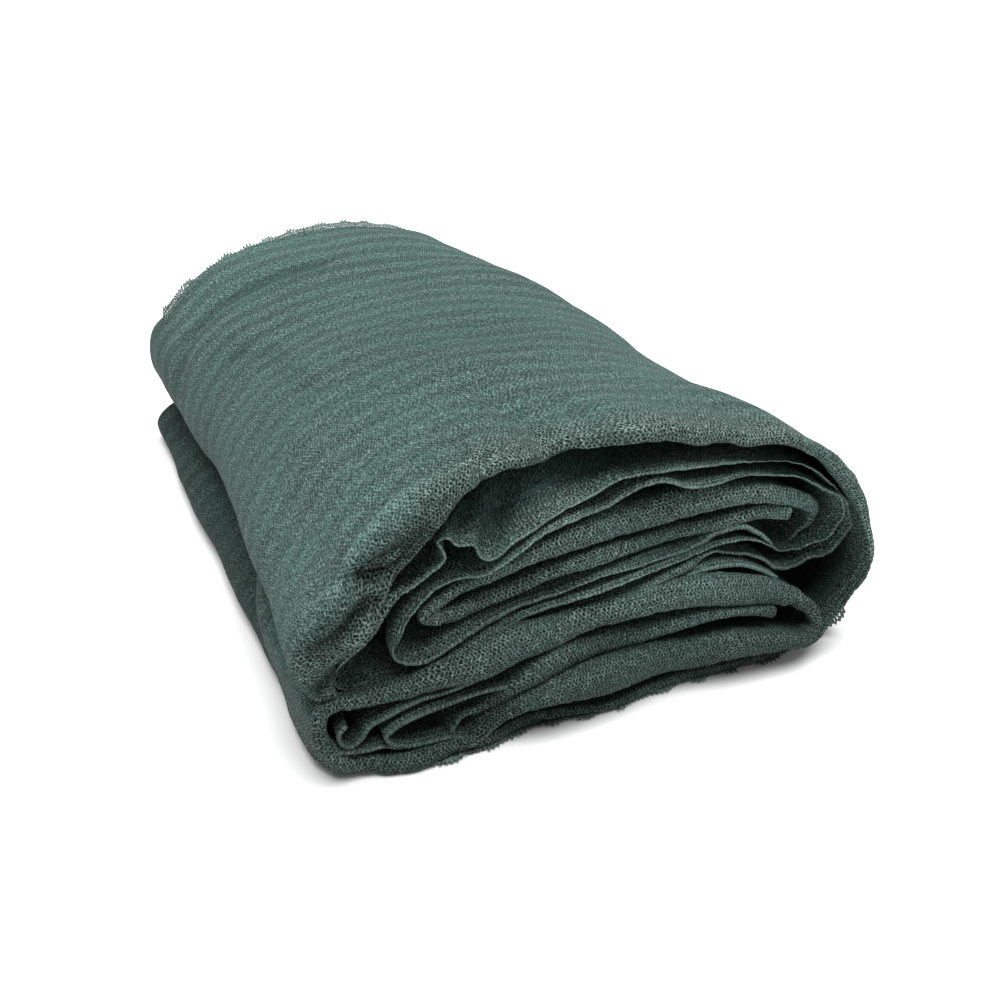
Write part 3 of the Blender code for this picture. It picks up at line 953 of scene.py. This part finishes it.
class Value:
    """A socket of a material's tree. An expression on values adds its Math nodes."""

    def __init__(self, tree, socket):
        self.tree, self.socket = tree, socket

    __add__, __radd__ = operation("ADD"), operation("ADD", True)
    __sub__, __rsub__ = operation("SUBTRACT"), operation("SUBTRACT", True)
    __mul__ = operation("MULTIPLY")
    __truediv__ = operation("DIVIDE")
    floor = operation("FLOOR")
    fraction = operation("FRACT")
    size = operation("ABSOLUTE")
    at_most = operation("MINIMUM")
    at_least = operation("MAXIMUM")

    def between(self, low, high, start=0.0, end=1.0):
        """Smooth change from start at low to end at high."""
        settings = {"interpolation_type": "SMOOTHSTEP"}
        return self.tree.node("ShaderNodeMapRange", settings, (self, low, high, start, end))

    def falls(self, low, high, end=0.0):
        """Smooth change from 1 at low to end at high."""
        return self.between(low, high, 1.0, end)

    def zigzag(self):
        """1 at each whole number, 0 halfway between two of them, and straight in between."""
        return (self.fraction() * 2.0 - 1.0).size()


class Finish:
    """A material and the nodes of its tree."""

    def __init__(self, name):
        self.material = bpy.data.materials.new(name)
        self.material.use_nodes = True
        self.tree = self.material.node_tree
        self.shader = self.tree.nodes["Principled BSDF"]

    def node(self, kind, settings=(), sockets=(), output=0):
        """Adds a node, makes its settings first and then its sockets, by place or name."""
        made = self.tree.nodes.new(kind)
        for key, value in dict(settings).items():
            setattr(made, key, value)
        pairs = sockets.items() if isinstance(sockets, dict) else enumerate(sockets)
        for key, value in pairs:
            self.plug(made.inputs[key], value)
        return Value(self, made.outputs[output])

    def parts(self, vector):
        """The three parts of a vector."""
        made = self.node("ShaderNodeSeparateXYZ", {}, (vector,)).socket.node
        return [Value(self, socket) for socket in made.outputs]

    def plug(self, socket, value):
        """Links a value to a socket, or sets the socket to a constant."""
        if isinstance(value, Value):
            self.tree.links.new(value.socket, socket)
        else:
            socket.default_value = value

    def mix(self, share, first, second):
        """Colour that goes from first to second with the share."""
        settings = {"data_type": "RGBA"}
        return self.node("ShaderNodeMix", settings, {0: share, 6: first, 7: second}, 2)

    def noise(self, vector, scale, detail=2.0):
        """Soft noise from 0 to 1."""
        sockets = {"Vector": vector, "Scale": scale, "Detail": detail}
        return self.node("ShaderNodeTexNoise", {}, sockets)

    def surface(self, sockets):
        """Plugs values or constants into the shader's sockets, by name."""
        for name, value in sockets.items():
            self.plug(self.shader.inputs[name], value)


def knit_holes(u, v, stitch, course, wide):
    """How much of a hole lies over a place of the knit, how far it is from the hole's
    middle, and the hole's number. The holes slant one way and the other, row by row."""
    row = v / course
    odd = (row.floor() * 0.5).fraction() * 2.0
    along = row.fraction() - 0.5
    place = u / stitch + odd * HOLE_OFFSET + (odd * 2.0 - 1.0) * along * HOLE_SLANT
    across = place.fraction() - 0.5
    off = across * across * 15.0 + along * along * 6.0
    hole = off.between(wide * 0.35, wide * 1.10, 1.0, 0.0)
    return hole, off, place.floor() + row.floor() * 57.0


def net_finish(name, sheer=False):
    """Knitted polyethylene net in the colours of the panel."""
    look = bpy.context.scene.net_look
    finish = Finish(name)
    place = finish.node("ShaderNodeUVMap", {"uv_map": "knit"})
    u_raw, v_raw, _ = finish.parts(place)
    # The marks: painted shade, how thin the ply is, and how open it is.
    marks = finish.node("ShaderNodeAttribute", {"attribute_name": "marks"}, (), 1)
    painted_shade, thin, open_mark = finish.parts(marks)
    spot = finish.node("ShaderNodeTexCoord", {}, (), 3)
    _, spot_y, spot_z = finish.parts(spot)

    # The map drifts, slowly along the cloth and quickly from stitch to stitch.
    drift_a = finish.noise(place, 42.0)
    drift_b = finish.noise(spot, 38.0)
    jitter_a = finish.noise(spot, 330.0, 1.0)
    jitter_b = finish.noise(place, 300.0, 1.0)
    u = u_raw + (drift_a - 0.5) * DRIFT + (jitter_a - 0.5) * JITTER
    v = v_raw + (drift_b - 0.5) * DRIFT + (jitter_b - 0.5) * JITTER
    edge = v_raw.size()
    near = edge.falls(0.016, 0.050)

    # Closed and open patches, and the denser rows that run across the bundle, wider apart
    # towards the back.
    patches = finish.noise(spot, 10.0, 3.0)
    waver = finish.noise(spot, 6.0, 1.0)
    behind = spot_y + BAND_START
    back = behind * (1.0 - behind * 0.22) + (waver - 0.5) * 0.006
    band = (back / look.band_spacing).zigzag().falls(0.36, 0.62) * (1.0 - near)
    band = band * patches.falls(0.30, 0.62, 0.60)
    deep_back = behind.between(0.25, 0.60, 0.25, 1.0)
    openness = patches.between(0.38, 0.66, 0.46, 0.12) + near * 0.50
    wide = 0.66 + openness * 0.30 - band * 0.14
    if sheer:
        wide = wide + open_mark * 0.50
    hole, off, number = knit_holes(u, v, look.stitch, look.course, wide)
    chance = finish.node(
        "ShaderNodeTexWhiteNoise", {"noise_dimensions": "1D"}, {"W": number}, 0)
    depth = hole * (0.25 + chance * 1.1).at_most(1.0) * (0.45 + openness * 0.55)

    # Threads: painted shade on their sides and a painted highlight on their crown, greyer
    # where the knit is open.
    # The holes show painted shade: a shaded ply under them, and dark deep in them.
    under = finish.noise(place, 310.0, 1.0).between(0.42, 0.62)
    deep = (openness * 0.45 + painted_shade * 0.24 + chance * 0.30).at_most(1.0)
    lower = finish.mix(deep, finish.mix(under, look.gap_painted_shade, look.under_painted_shade),
                       look.gap_painted_shade)
    fibres = finish.noise(spot, 800.0)
    crown = off.between(0.60 + openness * 0.35, 2.3) * fibres.between(0.34, 0.62, 0.1, 1.2)
    crown = crown * (0.45 + chance * 0.65)
    side_colour = finish.mix(openness, look.thread_side_painted_shade, look.open_side_painted_shade)
    light = finish.mix(openness, look.crown_painted_highlight, look.open_crown_painted_highlight)
    thread = finish.mix(crown.at_most(1.0), side_colour, light)
    body = finish.mix(depth, thread, lower)

    # A painted highlight along the folded edges of single plies, beaded like stitches, and the
    # dotted lines of the selvedge behind them.
    beads = (u / look.stitch).zigzag().falls(0.1, 0.9, 0.25)
    hem_highlight = edge.falls(0.0009, 0.0020) * thin * beads * (0.35 + chance * 0.65)
    first, second = ((edge - off).size().falls(0.0003, 0.0009) for off in SELVEDGE_LINES)
    dots = (u / DOT_SPACING).zigzag().falls(0.35, 0.65)
    selvedge = (first + second) * dots * thin * (0.55 + chance * 0.7)
    marked_body = finish.mix((hem_highlight + selvedge).at_most(0.9), body, look.highlight_and_dot_colour)

    # Light and dark: fibres, grain, streaks along the rows and dashes in the bands; then painted
    # shade from the marks and towards the bottom, and a painted highlight near the front edge.
    tone = finish.noise(spot, 5.0, 3.0)
    stretched = finish.node("ShaderNodeCombineXYZ", {}, (u_raw, v_raw * 0.35, 0.0))
    grain = finish.noise(stretched, 420.0, 1.0)
    drawn = finish.node("ShaderNodeCombineXYZ", {}, (u_raw * 0.07, v_raw, waver * 0.02))
    streaks = finish.noise(drawn, 210.0)
    dash = (u_raw / DASH_SPACING[0] + v_raw / DASH_SPACING[1]).zigzag()
    dashes = dash.falls(0.20, 0.80) * grain.between(0.35, 0.60)
    shade = tone.between(0.3, 0.7, 0.88, 1.05) * (0.42 + fibres * 1.06)
    shade = shade * grain.between(0.25, 0.75, 0.62, 1.36)
    shade = shade * streaks.between(0.30, 0.70, 0.93, 1.07)
    shade = shade * (0.91 + band * (0.19 + dashes * deep_back * 0.60))
    # Painted shade from the marks.
    shade = shade * (1.0 - painted_shade * 0.15).at_least(0.25)
    # Painted shade, darker towards the bottom.
    low = spot_z.falls(0.0, 0.15)
    # The last factor is a painted highlight near the strip's front edge.
    shade = shade * (1.0 - low * (0.36 if sheer else 0.55)) * (1.0 + near * 0.22)
    cube = finish.node("ShaderNodeCombineColor", {}, (shade, shade, shade))
    tinted = finish.node(
        "ShaderNodeMix", {"data_type": "RGBA", "blend_type": "MULTIPLY"},
        {0: 1.0, 6: marked_body, 7: cube}, 2)
    finish.surface({"Base Color": tinted})
    height = (1.0 - depth) * 0.8 + crown * 0.4 + fibres * 0.2
    bump = finish.node("ShaderNodeBump", {}, {
        "Strength": 0.9, "Distance": look.thread, "Height": height})
    finish.surface({"Normal": bump, "Roughness": 0.65, "Specular IOR Level": 0.05})
    if sheer:
        solid = 1.0 - hole * open_mark + hem_highlight
        finish.surface({"Alpha": solid.between(0.35, 0.65)})
    return finish.material


# --- Settings -------------------------------------------------------------------------------
def length_of(name, description, default):
    """Setting of a length in metres."""
    return FloatProperty(
        name=name, description=description, default=default, unit="LENGTH")


def colour_of(name, description, *default):
    """Setting of a colour."""
    return FloatVectorProperty(
        name=name, description=description, subtype="COLOR", size=4,
        default=(*default, 1.0), min=0.0, max=1.0)


def angle_of(name, description, degrees):
    """Setting of an angle."""
    return FloatProperty(
        name=name, description=description, default=math.radians(degrees), subtype="ANGLE")


class NetLook(PropertyGroup):
    """Sizes and colours of the knit."""

    stitch: length_of("Stitch", "Width of a stitch along the strip", 0.0031)
    course: length_of("Course", "Spacing of the rows of stitches", 0.0030)
    thread: length_of("Thread", "Thickness of the thread", 0.0008)
    # The threads' sides carry painted shade and their crowns a painted highlight.
    thread_side_painted_shade: colour_of(
        "Thread Colour", "Colour of the thread's sides", 0.050, 0.094, 0.082)
    crown_painted_highlight: colour_of(
        "Light Colour", "Colour of the thread's crown", 0.108, 0.196, 0.171)
    open_crown_painted_highlight: colour_of(
        "Open Colour", "Colour of the thread's crown in open patches", 0.190, 0.262, 0.236)
    open_side_painted_shade: colour_of(
        "Open Side Colour", "Colour of the thread's sides in open patches",
        0.036, 0.055, 0.048)
    # Painted shade seen through the holes: the shaded ply under them and the dark deep in them.
    under_painted_shade: colour_of(
        "Under Colour", "Colour of the ply seen through the holes", 0.024, 0.040, 0.036)
    gap_painted_shade: colour_of("Gap Colour", "Colour deep in the holes", 0.0048, 0.0052, 0.0047)
    # Painted highlight along the folded edges of single plies, and the selvedge's dotted lines.
    highlight_and_dot_colour: colour_of(
        "Edge Colour", "Colour of stitched edges and the selvedge's dots",
        0.180, 0.262, 0.236)
    band_spacing: length_of("Band Spacing", "Spacing of the denser rows of the knit", 0.030)


class NetStage(PropertyGroup):
    """The camera, the floor and the lights."""

    lens: FloatProperty(
        name="Lens", description="The camera's focal length in millimetres", default=37.8)
    heading: angle_of("Heading", "How far the camera is turned clockwise from +Y", 23.5)
    tilt: angle_of("Tilt", "How far the camera looks down", 26.5)
    eye: FloatVectorProperty(
        name="Eye", description="The camera's place in the strip's own axes",
        subtype="TRANSLATION", default=(-0.327, -0.959, 0.524))
    floor_colour: colour_of("Floor Colour", "Colour of the floor", 0.80, 0.80, 0.80)
    sky: FloatProperty(
        name="Sky", description="Strength of the even light from all round", default=0.40)
    sun: FloatProperty(
        name="Sun", description="Strength of the soft light from above", default=4.7)
    sun_angle: angle_of("Sun Angle", "How wide the soft light from above is", 50.0)
    sun_lean: angle_of("Sun Lean", "How far the light from above leans to the front", 8.0)


# --- Pieces ---------------------------------------------------------------------------------
def settle(piece, material):
    """Gives a finished piece of net its material and ties it to the frame."""
    piece.data.materials.append(material)
    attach(piece, "root")
    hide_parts("net")


# Where the runs of the strip meet: leaf and x. And how far apart a run's points are across
# the bundle's length, on its outer and its inner side.
WRAP_START = STRIP.section_at("crease_ply", -0.12)
WRAP_END = STRIP.section_at("lobe_high", -0.13)
WRAP_STEPS = (0.0065, 0.03)
LEAF_STEPS = (0.06, 0.06)


class HARVESTNET_OT_wrap(Operator):
    """Makes the outer run of the strip: the flank, the cover, the right side and the base"""
    bl_idname = "harvestnet.wrap"
    bl_label = "Net Wrap"

    def execute(self, context):
        piece, flat = strip_piece("net_wrap", WRAP_START, WRAP_END, *WRAP_STEPS)
        settle(piece, net_finish("net_wrap"))
        return {"FINISHED"}


class HARVESTNET_OT_leaves(Operator):
    """Makes the leaves that lie inside the wrap, in the upper and the lower lobe"""
    bl_idname = "harvestnet.leaves"
    bl_label = "Net Leaves"

    def execute(self, context):
        material = net_finish("net_leaves")
        runs = {"upper_leaves": (0, WRAP_START), "lower_leaves": (WRAP_END, len(STRIP.x) - 1)}
        for name, ends in runs.items():
            piece, flat = strip_piece(name, *ends, *LEAF_STEPS)
            settle(piece, material)
        return {"FINISHED"}


class HARVESTNET_OT_loose(Operator):
    """Makes the loose plies: the fringe, the skirt and the plies tucked into the hollows"""
    bl_idname = "harvestnet.loose"
    bl_label = "Loose Plies"

    def execute(self, context):
        closed, sheer = net_finish("net_tucked"), net_finish("net_sheer", True)
        for loose in LOOSE:
            piece, flat = loose_ply(loose)
            settle(piece, sheer if loose.open else closed)
        return {"FINISHED"}


class HARVESTNET_OT_stage(Operator):
    """Makes the floor, the lights and the camera"""
    bl_idname = "harvestnet.stage"
    bl_label = "Stage"

    def execute(self, context):
        stage = context.scene.net_stage
        bpy.ops.object.select_all(action="DESELECT")
        bpy.ops.mesh.primitive_plane_add(size=120.0, location=(0.0, 0.0, 0.0))
        floor = context.active_object
        floor.name = "floor"
        finish = Finish("floor")
        finish.surface({"Base Color": stage.floor_colour, "Roughness": 0.9})
        floor.data.materials.append(finish.material)
        world = bpy.data.worlds.new("studio")
        world.use_nodes = True
        back = world.node_tree.nodes["Background"]
        back.inputs["Color"].default_value = (1.0, 1.0, 1.0, 1.0)
        back.inputs["Strength"].default_value = stage.sky
        context.scene.world = world
        bpy.ops.object.light_add(type="SUN", location=(0.0, 0.0, 3.0))
        sun = context.active_object
        sun.name = "key"
        sun.data.energy = stage.sun
        sun.data.angle = stage.sun_angle
        sun.rotation_euler = (stage.sun_lean, 0.0, 0.0)
        self.camera(context, stage)
        context.scene.view_settings.view_transform = "Standard"
        return {"FINISHED"}

    def camera(self, context, stage):
        """The camera, looking along the heading and down by the tilt."""
        place = Vector(stage.eye) + Vector(SHIFT)
        bpy.ops.object.camera_add(location=place)
        camera = context.active_object
        camera.rotation_euler = (0.5 * math.pi - stage.tilt, 0.0, -stage.heading)
        camera.data.lens = stage.lens
        camera.data.sensor_width = 36.0
        context.scene.camera = camera


class HARVESTNET_PT_panel(Panel):
    """Lists the net's pieces and its settings"""
    bl_idname = "HARVESTNET_PT_panel"
    bl_label = "Harvest Net"
    bl_space_type = "VIEW_3D"
    bl_region_type = "UI"
    bl_category = "Harvest Net"

    def draw(self, context):
        for name in PIECES + ("stage",):
            self.layout.operator("harvestnet." + name)
        for group in (context.scene.net_look, context.scene.net_stage):
            for name in group.__annotations__:
                self.layout.prop(group, name)


PIECES = ("wrap", "leaves", "loose")
CLASSES = (
    NetLook, NetStage,
    HARVESTNET_OT_wrap, HARVESTNET_OT_leaves, HARVESTNET_OT_loose, HARVESTNET_OT_stage,
    HARVESTNET_PT_panel,
)


def register():
    for made in CLASSES:
        bpy.utils.register_class(made)
    bpy.types.Scene.net_look = PointerProperty(type=NetLook)
    bpy.types.Scene.net_stage = PointerProperty(type=NetStage)


def unregister():
    del bpy.types.Scene.net_stage
    del bpy.types.Scene.net_look
    for made in reversed(CLASSES):
        bpy.utils.unregister_class(made)


def main():
    register()
    bpy.ops.harvestnet.stage()
    for name in PIECES:
        getattr(bpy.ops.harvestnet, name)()


if __name__ == "__main__":
    main()
